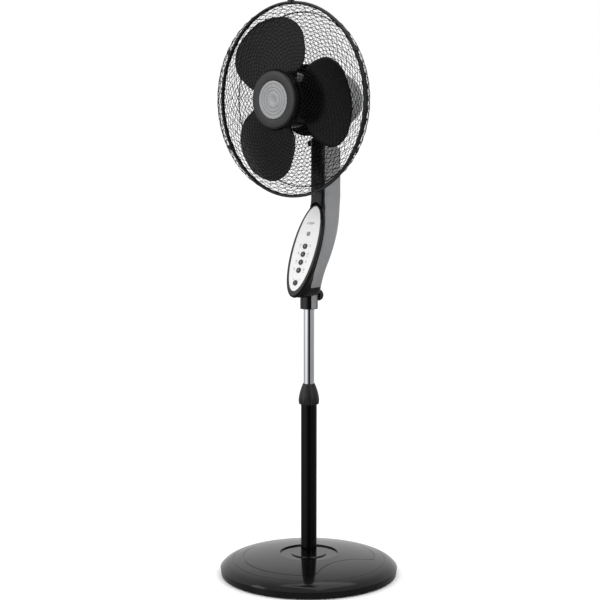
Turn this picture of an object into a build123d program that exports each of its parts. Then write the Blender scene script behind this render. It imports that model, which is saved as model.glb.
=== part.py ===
from build123d import *
import os
from math import atan2, cos, degrees, radians, sin, sqrt

# Pedestal fan. Millimetres, +Z up, the air blows towards -Y, origin on the floor
# under the pole's centre.

# ---------------------------------------------------------------- driving dimensions
BASE_R = 200.0            # widest radius of the round foot
RIM_Z = 17.3              # height of the foot's widest edge
DOME_Z = 49.0             # top of the domed cover, at the rim of its centre recess
RECESS_R = 67.0           # centre recess round the pole
BASE_WALL = 3.0
RECESS_Z = DOME_Z - 3.0   # floor of the centre recess
FOOT_GAP = 2.5            # height of the rubber feet

POLE_R = 17.9             # lower pole, outside
POLE_BORE_R = 16.2
POLE_TOP_Z = 408.0
TUBE_R = 12.1             # sliding chrome tube, outside
TUBE_BORE_R = 10.9
TUBE_BOTTOM_Z = 255.0
TUBE_TOP_Z = 690.0
COLLAR_Z = (391.0, 437.0)

SOCKET_R = 19.7           # sleeve under the control housing
SOCKET_Z = (605.5, 656.0)
CLAMP_Z = 633.5           # height of the clamp knob's axis
TRIM_ANGLES = (-10.0, 190.0)

PANEL_CENTRE = (0.0, -14.35, 740.2)
PANEL_LEAN = 22.4         # degrees the panel leans back from upright
PANEL_A = 98.4            # half length and half width of the oval panel
PANEL_B = 31.5
BEZEL = 9.0               # black frame round the panel: margin at its sides and ends, depth
BEZEL_END = 11.0
BEZEL_DROP = -2.5         # how far the frame's centre lies below the panel's
BEZEL_DEPTH = 8.0
LEDGE = 3.5               # width of the ledge that the panel lies on
BUTTON_R = 6.0
BUTTON_UP = {"speed_button": 5.0, "mode_button": -13.6, "timer_button": -32.2,
             "swing_button": -50.7, "power_button": -79.8}
WINDOW_UP = 34.2

NECK_W = 21.0             # half width of the neck
NECK_TOP_Z = 982.0
WALL = 2.5                # moulded housing wall
TILT_Y = 38.0             # tilt axis, along X
TILT_Z = 969.5
SWING_Y = 44.0            # swing axis, along Z
CRANK_Y = 100.0           # swing motor's shaft, along Z
CRANK_THROW = 11.2
LINK_X = 18.0             # where the crank link is pinned to the yoke
LINK_LENGTH = 57.7

AXIS_Z = 1065.0           # height of the fan's axis
RING_R = 210.6            # outside of the band that joins the two grilles
RING_Z = (54.6, 62.3)     # the band's edges, in depth
RIM_WIRE_R = 204.5        # where the grille wires reach their rims
HUB_R = 62.4              # front badge
BADGE_FACE = 116.0        # depth of the badge's face
PLATE_R = 78.0            # rear grille's centre plate
WIRE = 1.8
WIRES = 36                # wires in each of the four layers
CLIP_ANGLES = (90, 30, -30, 210, 150)
MOTOR_R = 62.0
MOTOR_REAR_Y = 145.0
SHAFT_R = 4.0
BLADES = 3
BLADE_PITCH = 8.0
BLADE_CONE = 3.5          # degrees the blades lean forward towards their tips
BLADE_START = -2.5        # angle of the first blade
BLADE_DEPTH = 69.5
BLADE_OUTLINE = ((50, 40), (80, 50), (105, 48.5), (130, 43.5), (150, 39), (166, 32), (179, 21),
                 (184.8, 0))   # (radius, half angle) from the hub out
DRUM_R = 60.0             # blade hub

FIT = 0.05                # radial clearance of a shaft in its bore
GAP = 0.3                 # clearance between parts that move past each other

HOUSING_SCREWS = ((60, 905), (60, 870), (40, 760))    # (y, z) of their axes


# ---------------------------------------------------------------- helpers
def tube(outer, inner, low, high):
    """Upright tube between two heights."""
    ring = Circle(outer) - Circle(inner)
    return Pos(0, 0, low) * extrude(ring, amount=high - low)


def disc(radius, low, high):
    """Upright solid cylinder between two heights."""
    return Pos(0, 0, low) * extrude(Circle(radius), amount=high - low)


def turned(*points):
    """Solid of revolution about Z of a closed (radius, height) outline."""
    return revolve(Plane.XZ * make_face(Polyline(*points, close=True)), Axis.Z)


def block(x, y, z):
    """Box between (low, high) pairs on each axis."""
    size = Box(x[1] - x[0], y[1] - y[0], z[1] - z[0])
    return Pos((x[0] + x[1]) / 2, (y[0] + y[1]) / 2, (z[0] + z[1]) / 2) * size


def on_axis(shape):
    """Place a shape drawn round Z on the fan's axis; its +Z becomes the fan's front."""
    return Pos(0, 0, AXIS_Z) * Rot(90, 0, 0) * shape


def around(shape, count, start=0.0):
    """Copies of a shape, evenly spaced about Z."""
    return [Rot(0, 0, start + 360.0 * k / count) * shape for k in range(count)]


def fuse(first, others):
    """First shape with all the others fused on."""
    return first.fuse(*others)


def group(shapes):
    """Separate solids that share one node."""
    return Compound(children=[s for shape in shapes for s in shape.solids()])


def write(name, shape):
    """One STEP file per node."""
    export_step(shape, f"parts/{name}.step")


# ---------------------------------------------------------------- foot
def dome_outline(drop):
    """Half section under the cover's outer skin, moved down and in by the drop."""
    rim = BASE_R - drop
    skirt = Polyline((0, FOOT_GAP), (rim - 2, FOOT_GAP), (rim, RIM_Z), (rim - 3, 20.5 - drop))
    crown_points = [(rim - 3, 20.5), (185, 29.5), (170, 34.8), (135, 42.0), (100, 46.3), (RECESS_R, DOME_Z)]
    crown = Spline(*[(r, z - drop) for r, z in crown_points])
    top = Polyline((RECESS_R, DOME_Z - drop), (0, DOME_Z - drop), (0, FOOT_GAP))
    return make_face(skirt + crown + top)


def swirl_outline(grow):
    """A circle with one round bite out of it, its corners rounded."""
    outline = Circle(149 + grow) - Pos(237, -27) * Circle(146 - grow)
    return fillet(outline.vertices(), 22)


def swirl_groove(dome):
    """Fine groove in the dome along the swirl's outline."""
    band = swirl_outline(0.8) - swirl_outline(-0.8)
    return (extrude(band, amount=60) & dome) - Pos(0, 0, -1.0) * dome


def base_cover():
    dome = revolve(Plane.XZ * dome_outline(0), Axis.Z)
    inside = revolve(Plane.XZ * dome_outline(BASE_WALL), Axis.Z)
    cover = dome - swirl_groove(dome)
    cover -= disc(RECESS_R - 1.5, RECESS_Z, 60)
    cover -= tube(172.4, 171.6, 20, 40) & (dome - Pos(0, 0, -0.8) * dome)
    cover -= inside - disc(RECESS_R, RECESS_Z - BASE_WALL, 60)
    cover -= disc(4.5, 0, 60)
    for boss in around(Pos(186, 0, 0) * tube(6, 2, 5.0, 28.0), 6, 30):
        cover += boss & dome
    return cover


def base_plate():
    plate = tube(194.5, 30, FOOT_GAP, 5.0)
    screw_seats = around(Pos(186, 0, 0) * disc(4.2, FOOT_GAP, 3.8), 6, 30)
    holes = around(Pos(186, 0, 0) * disc(2, FOOT_GAP, 5.0), 6, 30)
    return plate - screw_seats - holes


def base_screws():
    screw = disc(4, FOOT_GAP + 0.2, 3.8) + disc(1.95, 3.8, 18)
    return group(around(Pos(186, 0, 0) * screw, 6, 30))


def base_parts():
    write("base_cover", base_cover())
    write("base_weight", tube(176, 72, 5.0, 9.6))
    write("base_plate", base_plate())
    write("base_screws", base_screws())
    write("rubber_feet", group(around(Pos(170, 0, 0) * disc(9, 0, FOOT_GAP), 6)))
    foot_top = DOME_Z - 0.5
    flange = turned((4.0, RECESS_Z), (40, RECESS_Z), (40, RECESS_Z + 1.1), (38, foot_top), (4.0, foot_top))
    spigot = tube(POLE_BORE_R - 0.1, 4.0, foot_top - 0.5, 85)
    write("pole_foot", flange + spigot)
    ceiling = RECESS_Z - BASE_WALL
    write("base_washer", tube(13, 4.2, ceiling - 2.3, ceiling))
    head = extrude(RegularPolygon(10, 6), amount=7)
    bolt = Pos(0, 0, ceiling - 9.3) * head + disc(3.95, ceiling - 3, 74)
    write("base_bolt", bolt)


# ---------------------------------------------------------------- pole
def collar():
    """Fluted clamping collar, widest near its foot and drawn in to the tube."""
    low, high = COLLAR_Z
    side = Spline((22.2, low), (23.2, low + 9), (22.0, low + 19), (19.0, low + 31), (13.4, high))
    ends = Polyline((13.4, high), (0, high), (0, low), (22.2, low))
    shape = revolve(Plane.XZ * make_face(side + ends), Axis.Z)
    bore = turned((0, low - 1), (POLE_R + GAP, low - 1), (POLE_R + GAP, 408.6), (17.3, 409.2),
                  (17.3, 418.5), (13.6, 428.0), (12.5, 428.6), (12.5, high + 1), (0, high + 1))
    flute = Pos(24.0, 0, 0) * disc(1.9, low - 1, low + 24)
    return shape - bore - around(flute, 20)


def collet():
    """Split threaded bush in the lower pole's mouth that grips the tube."""
    top = POLE_TOP_Z
    body = turned((TUBE_R + FIT, top - 18), (16.1, top - 18), (16.1, top), (16.9, top),
                  (16.9, top + 10), (13.2, top + 19.5), (TUBE_R + FIT, top + 19.5))
    slot = block((-0.8, 0.8), (0, 25), (top + 3, top + 30))
    return body - around(slot, 4, 45)


def pole_parts():
    write("lower_pole", tube(POLE_R, POLE_BORE_R, DOME_Z - 0.5, POLE_TOP_Z))
    write("height_collar", collar())
    write("pole_collet", collet())
    write("slide_tube", tube(TUBE_R, TUBE_BORE_R, TUBE_BOTTOM_Z, TUBE_TOP_Z))
    guide = tube(15.9, TUBE_R, TUBE_BOTTOM_Z, TUBE_BOTTOM_Z + 18)
    lip = tube(15.9, 8, TUBE_BOTTOM_Z - 3, TUBE_BOTTOM_Z)
    write("tube_guide", guide + lip)


# ---------------------------------------------------------------- control housing and neck
# Horizontal sections of the housing: height, front y, rear y, half width, corner radius.
SECTIONS = [
    (634.0, -42.0, 14.0, 14.0, 13.5),
    (640.0, -49.0, 19.0, 23.0, 19.0),
    (655.0, -50.5, 20.0, 31.0, 24.0),
    (690.0, -36.0, 26.0, 37.5, 24.0),
    (715.0, -25.5, 40.0, 38.0, 24.0),
    (745.0, -13.0, 57.0, 36.5, 24.0),
    (775.0, -0.5, 71.0, 33.0, 22.0),
    (805.0, 12.0, 81.0, 27.5, 18.0),
    (835.0, 21.5, 87.0, 22.0, 13.0),
    (860.0, 23.0, 88.5, NECK_W, 11.0),
]
# Seam between the black front shell and the rear shell, as (y, z) from the top down.
SEAM = [(30, 1000), (30, 830), (22, 800), (7, 759), (-8, 722), (-22, 690), (-29, 664),
        (-29, 656)]


def section(z, front, rear, half, corner):
    return Pos(0, (front + rear) / 2, z) * RectangleRounded(2 * half, rear - front, corner)


def housing_body(inset_side, inset_front):
    """Solid housing and neck; the insets give the room inside the walls."""
    faces = []
    for z, front, rear, half, corner in SECTIONS:
        y0 = front + inset_front
        y1 = rear - inset_side
        half_in = half - inset_side
        corner_in = min(corner - inset_side, half_in - 0.4, (y1 - y0) / 2 - 0.4)
        faces.append(section(z, y0, y1, half_in, max(corner_in, 1.0)))
    lower = loft(faces)
    neck = extrude(faces[-1], amount=NECK_TOP_Z + 10 - SECTIONS[-1][0])
    return lower + neck


def side_profile(points, half=60):
    """Prism across the whole width with a (y, z) outline."""
    face = Plane.YZ * make_face(Polyline(*points, close=True))
    return extrude(face, amount=half, both=True)


def housing_shell():
    """Hollow housing with its neck cut to shape and bored for the tilt bolt."""
    shell = housing_body(0, 0)
    hollow = housing_body(WALL, 6.0) & block((-60, 60), (-80, 120), (662, 1000))
    neck_room = block((-NECK_W + WALL, NECK_W - WALL), (25.5, 86), (880, 1000))
    shell -= hollow
    shell -= neck_room
    shell -= side_profile([(0, NECK_TOP_Z), (SWING_Y, NECK_TOP_Z), (100, 943), (100, 1010), (0, 1010)])
    bolt_hole = Pos(0, TILT_Y, TILT_Z) * Rot(0, 90, 0) * Cylinder(4.2, 60)
    shell -= bolt_hole
    shell -= disc(SOCKET_R, 600, SOCKET_Z[1])
    return shell - disc(SOCKET_R - 3.0, SOCKET_Z[1], TUBE_TOP_Z + 5)


def panel_frame():
    """Frame of the leaning panel: x to the right, y up the panel, z out of it."""
    lean = radians(PANEL_LEAN)
    return Plane(origin=PANEL_CENTRE, x_dir=(1, 0, 0), z_dir=(0, -cos(lean), sin(lean)))


def panel_prism(grow, low, high):
    """Oval prism on the panel, between two depths."""
    face = Ellipse(PANEL_B + grow, PANEL_A + grow)
    return panel_frame() * (Pos(0, 0, low) * extrude(face, amount=high - low))


def bezel_slab(depth):
    """Full oval that the frame is cut from, from its back up."""
    oval = Pos(0, BEZEL_DROP) * Ellipse(PANEL_B + BEZEL, PANEL_A + BEZEL_END)
    return Pos(0, 0, -BEZEL_DEPTH) * extrude(oval, amount=depth)


def panel_bezel():
    """Rounded oval frame with a ledge that the panel lies on."""
    slab = bezel_slab(BEZEL_DEPTH)
    frame = panel_frame() * fillet(slab.faces().sort_by(Axis.Z)[-1].edges(), 4.5)
    return frame - panel_prism(0.2, -2.4, 20) - panel_prism(-LEDGE, -BEZEL_DEPTH - 1, 5)


def on_panel(shape, up, side=0.0):
    return panel_frame() * (Pos(side, up, 0) * shape)


def front_side():
    """Everything in front of the seam."""
    outline = SEAM + [(-29, 600), (-120, 600), (-120, 1000)]
    return side_profile(outline)


def lower_front():
    """Black foot of the housing, round the sleeve and below the rear shell."""
    return block((-60, 60), (-80, 60), (600, SOCKET_Z[1]))


def front_housing(shell):
    front = shell & (front_side() + lower_front())
    front -= panel_frame() * bezel_slab(40)
    front -= Pos(0, 0, CLAMP_Z) * Rot(-90, 0, 0) * disc(9.2, 5, 60)
    return front - panel_prism(-LEDGE, -14, 5)


def rear_housing(shell):
    rear = shell - front_side() - lower_front() - panel_frame() * bezel_slab(40)
    gland = Pos(0, 40, 700) * Rot(-60, 0, 0) * Cylinder(4.5, 60, align=(Align.CENTER,) * 2 + (Align.MIN,))
    rear -= gland
    for y, z in HOUSING_SCREWS:
        rear -= Pos(0, y, z) * Rot(-90, 0, 0) * disc(3.6, 12, 60)
    return rear



def housing_screws():
    """Three long screws from the back, their heads sunk below the surface."""
    screws = []
    for y, z in HOUSING_SCREWS:
        screws.append(Pos(0, y, z) * Rot(-90, 0, 0) * (disc(3.4, 14, 17) + disc(1.6, -6, 14)))
    return group(screws)


def control_panel():
    plate = panel_prism(0, -2.4, 0.4)
    for up in BUTTON_UP.values():
        plate -= on_panel(disc(BUTTON_R + GAP, -5, 5), up)
    plate -= on_panel(disc(5.4, -5, 5), WINDOW_UP)
    for up, side in lamp_places():
        plate -= on_panel(disc(1.3, -5, 5), up, side)
    return plate


def lamp_places():
    """Indicator lamps beside the four upper buttons."""
    ups = [up for name, up in BUTTON_UP.items() if name != "power_button"]
    return [(up, side) for up in ups for side in (-14.0, 14.0)]


def button():
    """Button cap with a dished top and a flange behind the panel."""
    cap = disc(BUTTON_R, -3.6, 2.6)
    cap = chamfer(cap.faces().sort_by(Axis.Z)[-1].edges(), 0.7)
    flange = disc(BUTTON_R + 1.4, -4.4, -3.2)
    dish = Pos(0, 0, 2.6 + 17.4) * Sphere(18)
    return (cap - dish) + flange


def control_parts():
    shell = housing_shell()
    write("front_housing", front_housing(shell))
    write("rear_housing", rear_housing(shell))
    write("housing_screws", housing_screws())
    write("panel_bezel", panel_bezel())
    write("control_panel", control_panel())
    write("ir_window", on_panel(disc(5.4, -2.4, 0.7), WINDOW_UP))
    for name, up in BUTTON_UP.items():
        write(name, on_panel(button(), up))
    board = block((-20, 20), (-62, 50), (-9.6, -8.0))
    write("control_board", on_panel(board - block((-30, 30), (-70, -52), (-12, 0)), 0))
    switches = [on_panel(block((-3, 3), (-3, 3), (-8.0, -5.4)), up)
                for name, up in BUTTON_UP.items() if name != "power_button"]
    post = block((-3, 3), (-3, 3), (-12.0, -5.4))
    write("tact_switches", group(switches))
    write("power_switch", on_panel(post, BUTTON_UP["power_button"]))
    lamps = [on_panel(disc(1.3, -8.0, 0.6), up, side) for up, side in lamp_places()]
    write("indicator_lamps", group(lamps))


def socket_sleeve():
    """Sleeve that clamps on the tube, with a boss for the clamp screw behind."""
    low, high = SOCKET_Z
    sleeve = disc(SOCKET_R, low, high) + disc(SOCKET_R - 3.0, high, TUBE_TOP_Z - 4)
    boss = Pos(0, 0, CLAMP_Z) * Rot(-90, 0, 0) * disc(9, 10, 24)
    sleeve += boss
    sleeve -= disc(TUBE_R, low - 1, TUBE_TOP_Z)
    sleeve -= Pos(0, 0, CLAMP_Z) * Rot(-90, 0, 0) * disc(3.1, 5, 30)
    return sleeve - [trim_solid(angle, 0.0) for angle in TRIM_ANGLES]


def trim_solid(angle, gap):
    """Arched plate let into the sleeve's side, from its foot to a round head."""
    low, high = SOCKET_Z
    width = 15.0
    head_z = high - 12 - width / 2
    arch = Pos(0, (low + 1 + head_z) / 2) * Rectangle(width, head_z - low - 1)
    arch += Pos(0, head_z) * Circle(width / 2)
    prism = Rot(0, 0, angle) * extrude(Plane.YZ * arch, amount=30)
    return prism & tube(SOCKET_R - gap, SOCKET_R - 1.4, low, high)


def clamp_knob():
    """Fluted hand knob on a screw that bears on the tube."""
    head = disc(13, 24 + GAP, 36)
    head = fillet(head.faces().sort_by(Axis.Z)[-1].edges(), 3)
    head -= around(Pos(14.2, 0, 0) * disc(2.6, 20, 40), 12)
    knob = head + disc(3.0, TUBE_R + 0.5, 26)
    return Pos(0, 0, CLAMP_Z) * Rot(-90, 0, 0) * knob


def socket_parts():
    write("socket_sleeve", socket_sleeve())
    write("sleeve_trims", group([trim_solid(angle, 0.3) for angle in TRIM_ANGLES]))
    write("clamp_knob", clamp_knob())


# ---------------------------------------------------------------- neck, tilt and swing
def across(radius, low, high):
    """Cylinder along X on the tilt axis."""
    return Pos(low, TILT_Y, TILT_Z) * Rot(0, 90, 0) * disc(radius, 0, high - low)


def neck_fork():
    """Two ears for the tilt bolt on one foot, inside the neck."""
    fork = block((-18.4, 18.4), (30, 72), (895, 915))
    for side in (-1, 1):
        span = sorted((side * 15.4, side * 18.4))
        fork += block(span, (30, 60), (915, 965)) + across(9, *span)
    fork -= [Pos(0, y, z) * Rot(-90, 0, 0) * disc(1.6, -40, 60) for y, z in HOUSING_SCREWS[:1]]
    return fork - across(4.0 + FIT, -30, 30)


def tilt_screw():
    """Bolt through the ears with its small knurled head."""
    head = across(7, -33, -NECK_W - 1 - GAP)
    ridges = [Pos(0, TILT_Y, TILT_Z) * Rot(0, -90, 0) * Rot(0, 0, 36 * k) * Pos(7.6, 0, 0)
              * disc(1.4, 20, 35) for k in range(10)]
    return head - ridges + across(4.0, -24, 20.4)


def tilt_yoke():
    """Block that tilts between the ears and carries the swing post."""
    profile = [(30, 972), (33, 983.5), (72, 983.5), (50, 962), (40, 958)]
    body = side_profile(profile, 15) + across(12.5, -15, 15)
    body += block((-24, 24), (36, 72), (983.4, 987))
    body += Pos(0, SWING_Y, 0) * disc(7.0, 986, 992.7)
    body -= Pos(0, SWING_Y, 0) * disc(5.0, 975, 1000)
    body += Pos(LINK_X, SWING_Y, 0) * disc(2.5, 986, 990.7)
    return body - across(4.0 + FIT, -30, 30)


def crank_pin_place():
    """Where the crank's pin and the link's far end meet at rest."""
    dx, dy = LINK_X, SWING_Y - CRANK_Y
    span = sqrt(dx * dx + dy * dy)
    bend = (span ** 2 + CRANK_THROW ** 2 - LINK_LENGTH ** 2) / (2 * span * CRANK_THROW)
    angle = atan2(dy, dx) + atan2(sqrt(1 - bend ** 2), bend)
    return CRANK_THROW * cos(angle), CRANK_Y + CRANK_THROW * sin(angle)


def crank_link():
    """Flat link from the yoke to the crank; its far hole stands clear below the pin."""
    x, y = crank_pin_place()
    angle = degrees(atan2(y - SWING_Y, x - LINK_X))
    bar = Pos(LINK_LENGTH / 2, 0) * SlotOverall(LINK_LENGTH + 9, 9)
    bar -= [Circle(2.5 + FIT), Pos(LINK_LENGTH, 0) * Circle(2.8)]
    return Pos(LINK_X, SWING_Y, 988) * Rot(0, 0, angle) * extrude(bar, amount=2.4)


def crank_disc():
    """Crank on the swing motor's shaft, with a short pin over the link's hole."""
    x, y = crank_pin_place()
    crank = Pos(0, CRANK_Y, 0) * (disc(15.5, 992, 996) + disc(3.0, 996, 1036))
    return crank + Pos(x, y, 0) * disc(2.5, 990.7, 992.1)


def swing_housing():
    """Black block under the motor that turns on the swing post."""
    body = Pos(0, 31, 993) * extrude(RectangleRounded(52, 62, 16), amount=20)
    body = chamfer(body.faces().sort_by(Axis.Z)[0].edges(), 2)
    body -= Pos(0, SWING_Y, 0) * disc(5.0 + FIT, 990, 1020)
    return body - on_axis(disc(MOTOR_R, -100, 20))


def neck_parts():
    write("neck_fork", neck_fork())
    write("tilt_screw", tilt_screw())
    write("tilt_yoke", tilt_yoke())
    write("swing_post", Pos(0, SWING_Y, 0) * disc(5.0, 975, 1001))
    write("crank_link", crank_link())
    write("crank_disc", crank_disc())
    write("swing_housing", swing_housing())


# ---------------------------------------------------------------- motor
# These are drawn round Z with the fan's front at +Z, so a depth of 10 is at y = -10.
def motor_parts():
    seam = -48.0
    front = turned((10, 15), (13.9, 15), (13.9, 4), (MOTOR_R - 4, 4), (MOTOR_R, 0), (MOTOR_R, seam),
                   (59.5, seam), (59.5, 1), (10, 1))
    write("motor_front_cover", on_axis(front))
    write("motor_rear_cover", rear_cover(seam))
    frame = tube(52.5, 50.0, -78, 1) + tube(52.5, 10, -82, -78)
    write("motor_frame", on_axis(frame))
    slot = Pos(31, 0, 0) * Box(10, 3, 200)
    stator = tube(50.0, 28, -60, -12) - around(slot, 12)
    write("motor_stator", on_axis(stator))
    ends = [turned((31, low), (46, low), (48, low + 4), (46, low + 8), (31, low + 8)) for low in (-12, -68)]
    write("motor_windings", on_axis(group(ends)))
    write("rotor_core", on_axis(tube(27.4, SHAFT_R, -59, -13)))
    write("motor_shaft", on_axis(disc(SHAFT_R, -92, 97)))
    write("front_bearing", on_axis(tube(10, SHAFT_R + FIT, 4, 13)))
    write("rear_bearing", on_axis(tube(10, SHAFT_R + FIT, -84, -76)))
    swing_motor = Pos(0, CRANK_Y, 0) * (tube(17, 3.0 + FIT, 1026, 1040))
    write("swing_motor", swing_motor)


def rear_cover(seam):
    """Domed rear cover with vents round its end and a hole for the crank's shaft."""
    end = -MOTOR_REAR_Y

    def skin(drop):
        wall = Polyline((0, seam), (59.5 - drop, seam), (59.5 - drop, -92))
        dome = Spline((59.5 - drop, -92), (53 - drop, -119), (33, -138 + drop), (0, end + drop),
                      tangents=((0, -1), (-1, 0)))
        return revolve(Plane.XZ * make_face(wall + dome + Line((0, end + drop), (0, seam))), Axis.Z)

    cover = skin(0) - skin(2.4)
    vents = around(Pos(0, 33, -142) * Box(4, 20, 24), 18)
    cover -= vents
    return on_axis(cover) - Pos(0, CRANK_Y, 0) * disc(4.5, 990, 1030)


# ---------------------------------------------------------------- blade
def paddle():
    """One wide paddle on the right of the hub, pitched so it leans forward as it rises."""
    right = [(r * cos(radians(a)), r * sin(radians(a))) for r, a in BLADE_OUTLINE]
    mirrored = [(x, -y) for x, y in reversed(right[:-1])]
    outline = make_face(Spline(*right, *mirrored, periodic=True))
    prism = Pos(0, 0, 30) * extrude(outline, amount=90)
    plate = Pos(110, 0, BLADE_DEPTH) * Rot(BLADE_PITCH, -BLADE_CONE, 0) * Box(300, 400, 2.6)
    return (plate & prism) - disc(DRUM_R - 1.2, 0, 120)


def blade_parts():
    drum = turned((SHAFT_R, 60), (10, 60), (10, 86), (DRUM_R - 2.4, 86), (DRUM_R - 2.4, 14), (DRUM_R, 14),
                  (DRUM_R, 85), (DRUM_R - 4, 89), (SHAFT_R, 89))
    write("fan_blade", on_axis(fuse(drum, around(paddle(), BLADES, BLADE_START))))
    nut = turned((SHAFT_R, 89), (14, 89), (13, 96), (9, 98.5), (SHAFT_R, 98.5))
    write("blade_nut", on_axis(nut - around(Pos(15.2, 0, 0) * disc(2.6, 80, 100), 8)))


# ---------------------------------------------------------------- grilles
def front_depth(r):
    t = (r - HUB_R) / (RIM_WIRE_R - HUB_R)
    return 61.0 + 47.0 * max(0.0, 1 - t * t) ** 0.28


def rear_depth(r):
    t = (r - PLATE_R + 2) / (RIM_WIRE_R - PLATE_R + 2)
    return 55.9 - 49.9 * max(0.0, 1 - t * t) ** 0.3


def chord_wire(depth, start, tangent, inward, hand):
    """Wire that runs straight across the grille's plan, touching a circle round the hub."""
    radii = [start, 0.45 * start + 0.55 * 150, 150, 180, 193, 200, 203, RIM_WIRE_R]
    places = [(hand * sqrt(r * r - tangent * tangent), depth(r)) for r in radii]
    centre = Polyline(*[(s * (1 - inward / RIM_WIRE_R), h) for s, h in places])
    strip = Plane.YZ * trace(centre, WIRE)
    return Pos(tangent, 0, 0) * extrude(strip, amount=WIRE / 2, both=True)


def guard(depth, start, tangent, step, rings):
    """Two crossed layers of wires and the rings that they end in, as one solid."""
    outer_layer = around(chord_wire(depth, start, tangent, 0.0, 1), WIRES)
    inner_layer = around(Pos(0, 0, step) * chord_wire(depth, start, tangent, 2.0, -1), WIRES)
    return fuse(rings[0], rings[1:] + outer_layer + inner_layer)


def grille_parts():
    low, high = RING_Z
    middle = (low + high) / 2
    hub_ring = tube(HUB_R + 3, HUB_R + 0.2, 102, 110)
    front_rings = [tube(208, 203.8, middle + 0.3, high - 0.6), hub_ring]
    write("front_grille", on_axis(guard(front_depth, HUB_R + 1.5, 60.0, -2.1, front_rings)))
    plate = turned((14, 4), (76, 4), (PLATE_R, 6), (PLATE_R, 10), (74, 10), (72, 7), (14, 7))
    rear_rings = [plate, tube(208, 203.8, low + 0.6, middle - 0.3), tube(189.5, 186.5, 25.5, 28.1)]
    write("rear_grille", on_axis(guard(rear_depth, 75.5, 72.0, 2.1, rear_rings)))
    lips = tube(RING_R, 206, high - 0.6, high) + tube(RING_R, 206, low, low + 0.6)
    write("grille_band", on_axis(tube(RING_R, 208.1, low, high) + lips))
    clip = block((RING_R - 4.6, RING_R + 2.4), (-5, 5), (low - 2.2, high + 2.2))
    clip -= tube(RING_R + 0.1, 190, low - 0.2, high + 0.2)
    write("grille_clips", on_axis(group([Rot(0, 0, angle) * clip for angle in CLIP_ANGLES])))
    nut = tube(27, 14, 7.1, 14)
    write("grille_nut", on_axis(nut - around(Pos(28, 0, 0) * disc(3, 0, 20), 8)))
    face = BADGE_FACE
    badge = turned((0, face), (58.5, face), (61.9, face - 1.6), (HUB_R, face - 4), (HUB_R, 101),
                   (HUB_R - 2, 101), (HUB_R - 2, face - 4), (0, face - 4))
    write("front_badge", on_axis(badge - disc(41, face - 0.8, 120)))
    inset = turned((0, face - 0.8), (40.8, face - 0.8), (40.8, face - 0.1), (40, face + 0.6), (0, face + 0.6))
    write("badge_inset", on_axis(inset))


def main():
    os.makedirs("parts", exist_ok=True)
    base_parts()
    pole_parts()
    control_parts()
    socket_parts()
    neck_parts()
    motor_parts()
    blade_parts()
    grille_parts()


main()
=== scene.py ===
"""Pedestal fan: its turned, moulded and wired pieces and their finishes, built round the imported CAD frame.

Every length is written in millimetres and scaled to metres when a mesh is made. The fan blows towards -Y.
"""
import logging
import math
from collections.abc import Callable, Sequence
from dataclasses import dataclass, field
from enum import Enum

import bpy
from mathutils import Matrix, Vector


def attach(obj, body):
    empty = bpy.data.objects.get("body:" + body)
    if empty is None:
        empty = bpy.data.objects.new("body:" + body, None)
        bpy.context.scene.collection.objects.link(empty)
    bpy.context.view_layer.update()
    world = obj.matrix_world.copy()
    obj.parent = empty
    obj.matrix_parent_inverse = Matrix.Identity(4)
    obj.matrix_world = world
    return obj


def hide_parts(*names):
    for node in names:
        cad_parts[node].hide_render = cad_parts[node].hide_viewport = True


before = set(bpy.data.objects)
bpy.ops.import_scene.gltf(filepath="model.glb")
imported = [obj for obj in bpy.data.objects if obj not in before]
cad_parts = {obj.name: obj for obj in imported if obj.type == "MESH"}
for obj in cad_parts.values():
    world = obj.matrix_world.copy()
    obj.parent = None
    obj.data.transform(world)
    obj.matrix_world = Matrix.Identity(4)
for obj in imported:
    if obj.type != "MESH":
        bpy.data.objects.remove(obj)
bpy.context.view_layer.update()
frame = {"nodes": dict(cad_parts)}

LOG = logging.getLogger("pedestal_fan")

MM = 0.001
AXIS_Z = 1065.0
"""Height of the fan's axis above the floor."""
PANEL_CENTRE = (0.0, -14.35, 740.2)
PANEL_LEAN = 22.4
"""How far the control panel leans back, in degrees."""
RIM_RADIUS = 204.5
"""Where the guards' wires reach their rims."""
FRONT_HUB = 62.4
REAR_HUB = 76.0
SMOOTH_ANGLE = 35.0
"""Edges flatter than this shade smooth, in degrees."""
DUST_COLOUR = (0.42, 0.41, 0.39)
SCUFF_ROUGHNESS = 0.25
DUST_ROUGHNESS = 0.5
RELIEF_DEPTH = 0.0004
WEAR_RADIUS = 0.0012

Point = tuple[float, float]
Place = tuple[float, float, float]
Colour = tuple[float, float, float]


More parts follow.
